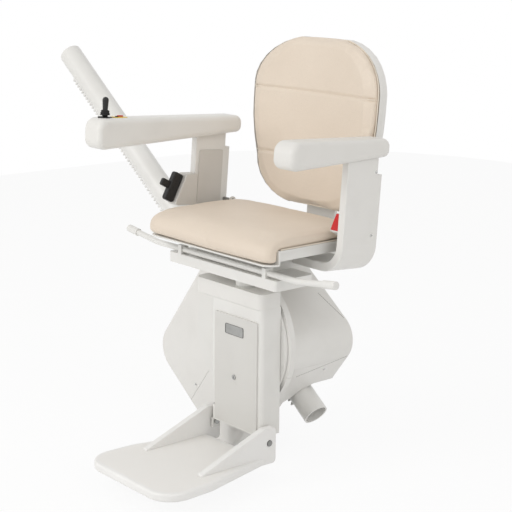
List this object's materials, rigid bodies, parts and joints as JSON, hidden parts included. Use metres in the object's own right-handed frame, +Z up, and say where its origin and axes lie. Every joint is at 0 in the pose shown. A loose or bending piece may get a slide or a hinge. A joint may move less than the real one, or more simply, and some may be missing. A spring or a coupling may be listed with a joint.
{
  "type": "stairlift chair",
  "caption": "Upholstered stairlift chair with folding arms, seat and footplate on a covered carriage, shown on a short inclined tube rail.",
  "frame": {"origin": "centre of the lower end face of the inclined rail tube, where the next rail is joined", "axes": "+X points down the stairs and to the sitter's left, -Y is the way the sitter faces, +Z is up"},
  "size_m": [1.3676, 0.6144, 0.999],
  "materials": {
    "white_paint": "satin powder coat",
    "white_cover": "fine satin moulding",
    "grey_panel": "fine grain",
    "steel": "machined",
    "cream": "soft grained upholstery",
    "black_plastic": "fine grain",
    "rubber": "matt",
    "white_nylon": "plain",
    "yellow": "gloss",
    "red": "gloss",
    "chrome": "polished",
    "mat": "ribbed light rubber",
    "board": "lacquered",
    "alloy": "satin"
  },
  "bodies": {
    "rail": {"rail_tube": "white_paint", "rail_rack": "steel"},
    "carriage": {"main_cover": "white_cover", "downhill_cover": "white_cover", "chassis_plate": "steel", "roller_axles": "steel", "gearbox": "alloy", "drive_motor": "black_plastic", "batteries": "black_plastic", "control_board": "board", "levelling_bearing": "steel", "levelling_motor": "alloy"},
    "uphill_roller": {"uphill_top_roller": "white_nylon"},
    "downhill_roller": {"downhill_top_roller": "white_nylon"},
    "uphill_spool": {"uphill_lower_spool": "white_nylon"},
    "downhill_spool": {"downhill_lower_spool": "white_nylon"},
    "pinion": {"drive_pinion": "steel"},
    "post": {"levelling_gear": "steel", "levelling_disc": "white_paint", "column_shell": "white_paint", "front_panel": "grey_panel", "blank_badge": "alloy", "column_collar": "white_cover", "swivel_spindle": "steel", "swivel_bearing": "white_nylon", "post_backbone": "steel", "footplate_pins": "steel"},
    "levelling_drive": {"levelling_pinion": "steel"},
    "lock": {"panel_lock": "chrome"},
    "foot_rest": {"footplate": "white_cover", "footplate_mat": "mat"},
    "chair": {"swivel_hub": "white_paint", "swivel_plate": "white_paint", "seat_frame": "white_paint", "seat_hinge_pins": "steel", "seat_rests": "rubber", "right_arm_bracket": "white_cover", "left_arm_bracket": "white_cover", "arm_trims": "grey_panel", "arm_pins": "steel", "back_cushion": "cream", "back_shell": "white_cover", "back_post": "white_paint", "belt_retractor": "grey_panel", "buckle_pin": "steel"},
    "levers": {"lever_bar": "white_paint", "lever_grips": "black_plastic"},
    "seat": {"seat_cushion": "cream", "seat_pan": "white_paint"},
    "right_arm": {"right_armrest": "white_cover", "joystick_collar": "black_plastic", "control_plate": "yellow"},
    "left_arm": {"left_armrest": "white_cover"},
    "stick": {"joystick_stick": "black_plastic", "joystick_boot": "rubber"},
    "power_cap": {"power_button": "red"},
    "key": {"key_switch": "black_plastic"},
    "tongue": {"belt_tongue": "black_plastic"},
    "buckle": {"buckle_body": "white_cover"},
    "buckle_cap": {"buckle_button": "red"}
  },
  "joints": [
    {"name": "carriage_travel", "type": "slide", "parent": "rail", "child": "carriage", "axis": [-0.7965, 0, 0.6046], "range_m": [-0.05, 0.8]},
    {"name": "levelling", "type": "hinge", "parent": "carriage", "child": "post", "pos_m": [-0.118, -0.1, 0.195], "axis": [0, 1, 0], "range_deg": [-6, 6]},
    {"name": "levelling_drive_turn", "type": "hinge", "parent": "carriage", "child": "levelling_drive", "pos_m": [-0.16977, 0, 0.2343], "axis": [0, 1, 0], "range_deg": [-22, 22]},
    {"name": "panel_lock_turn", "type": "hinge", "parent": "post", "child": "lock", "pos_m": [-0.065, -0.2, 0.121], "axis": [0, 1, 0], "range_deg": [0, 90]},
    {"name": "footplate_fold", "type": "hinge", "parent": "post", "child": "foot_rest", "pos_m": [-0.065, -0.188, -0.014], "axis": [-1, 0, 0], "range_deg": [0, 88]},
    {"name": "seat_swivel", "type": "hinge", "parent": "post", "child": "chair", "pos_m": [-0.065, -0.168, 0.37], "axis": [0, 0, 1], "range_deg": [-90, 90]},
    {"name": "lever_turn", "type": "hinge", "parent": "chair", "child": "levers", "pos_m": [-0.065, -0.237, 0.405], "axis": [1, 0, 0], "range_deg": [-14, 14], "stiffness_Nm_per_rad": 4},
    {"name": "seat_fold", "type": "hinge", "parent": "chair", "child": "seat", "pos_m": [-0.065, -0.03, 0.487], "axis": [-1, 0, 0], "range_deg": [0, 88]},
    {"name": "right_arm_fold", "type": "hinge", "parent": "chair", "child": "right_arm", "pos_m": [-0.31625, -0.04001, 0.67227], "axis": [-1, 0, 0], "range_deg": [0, 88]},
    {"name": "left_arm_fold", "type": "hinge", "parent": "chair", "child": "left_arm", "pos_m": [0.18625, -0.04001, 0.67227], "axis": [-1, 0, 0], "range_deg": [0, 88]},
    {"name": "joystick_tilt", "type": "hinge", "parent": "right_arm", "child": "stick", "pos_m": [-0.31625, -0.38329, 0.72191], "axis": [0, 0.9973, -0.0732], "range_deg": [-15, 15], "stiffness_Nm_per_rad": 0.2},
    {"name": "power_press", "type": "slide", "parent": "right_arm", "child": "power_cap", "axis": [0, -0.0732, -0.9973], "range_m": [0, 0.0015], "stiffness_N_per_m": 600},
    {"name": "key_turn", "type": "hinge", "parent": "right_arm", "child": "key", "pos_m": [-0.31125, -0.35494, 0.71203], "axis": [0, 0.0732, 0.9973], "range_deg": [0, 90]},
    {"name": "tongue_pull", "type": "slide", "parent": "chair", "child": "tongue", "axis": [0, -0.8813, 0.4726], "range_m": [0, 0.12]},
    {"name": "buckle_tilt", "type": "hinge", "parent": "chair", "child": "buckle", "pos_m": [0.172, -0.062, 0.468], "axis": [1, 0, 0], "range_deg": [-8, 15]},
    {"name": "buckle_press", "type": "slide", "parent": "buckle", "child": "buckle_cap", "axis": [0, 0.8898, -0.4563], "range_m": [0, 0.0025], "stiffness_N_per_m": 900},
    {"name": "uphill_roller_turn", "type": "hinge", "parent": "carriage", "child": "uphill_roller", "pos_m": [-0.26491, 0, 0.26297], "axis": [0, 1, 0], "range_deg": [-2547.48, 160.15]},
    {"name": "downhill_roller_turn", "type": "hinge", "parent": "carriage", "child": "downhill_roller", "pos_m": [-0.07374, 0, 0.11787], "axis": [0, 1, 0], "range_deg": [-2547.48, 160.15]},
    {"name": "uphill_spool_turn", "type": "hinge", "parent": "carriage", "child": "uphill_spool", "pos_m": [-0.32754, 0, 0.18046], "axis": [0, 1, 0], "range_deg": [-115.59, 1834.46]},
    {"name": "downhill_spool_turn", "type": "hinge", "parent": "carriage", "child": "downhill_spool", "pos_m": [-0.13637, 0, 0.03536], "axis": [0, 1, 0], "range_deg": [-115.59, 1834.46]},
    {"name": "pinion_turn", "type": "hinge", "parent": "carriage", "child": "pinion", "pos_m": [-0.24145, 0, 0.09539], "axis": [0, 1, 0], "range_deg": [-103.31, 1638.02]}
  ],
  "couplings": [
    {"joint": "uphill_roller_turn", "follows": "carriage_travel", "rad_per_m": -55.556},
    {"joint": "downhill_roller_turn", "follows": "carriage_travel", "rad_per_m": -55.556},
    {"joint": "uphill_spool_turn", "follows": "carriage_travel", "rad_per_m": 40},
    {"joint": "downhill_spool_turn", "follows": "carriage_travel", "rad_per_m": 40},
    {"joint": "pinion_turn", "follows": "carriage_travel", "rad_per_m": 35.714},
    {"joint": "levelling_drive_turn", "follows": "levelling", "ratio": -3.3333}
  ]
}
